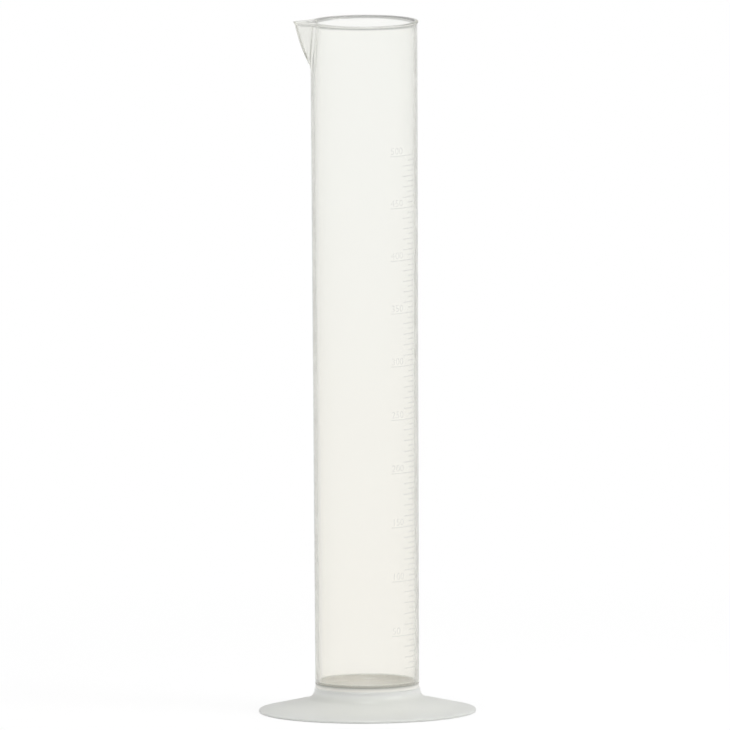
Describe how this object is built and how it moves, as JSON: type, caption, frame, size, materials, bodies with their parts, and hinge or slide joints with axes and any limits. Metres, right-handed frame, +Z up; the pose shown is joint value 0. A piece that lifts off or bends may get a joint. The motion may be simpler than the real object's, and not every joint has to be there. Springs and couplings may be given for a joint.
{
  "type": "graduated cylinder",
  "caption": "Tall slim measuring cylinder in translucent plastic, with a pouring spout, a rim bead and a wide round concave foot.",
  "frame": {"origin": "on the tube's axis at bench level, under the middle of the foot", "axes": "+Z up along the tube's axis; the pouring spout points to -X; +Y is to the spout's right, seen from above looking towards the spout"},
  "size_m": [0.1082, 0.1082, 0.3459],
  "materials": {
    "tube_polypropylene": "satin",
    "foot_polypropylene": "satin"
  },
  "bodies": {
    "root": {"measuring_tube": "tube_polypropylene", "foot": "foot_polypropylene"}
  },
  "joints": []
}
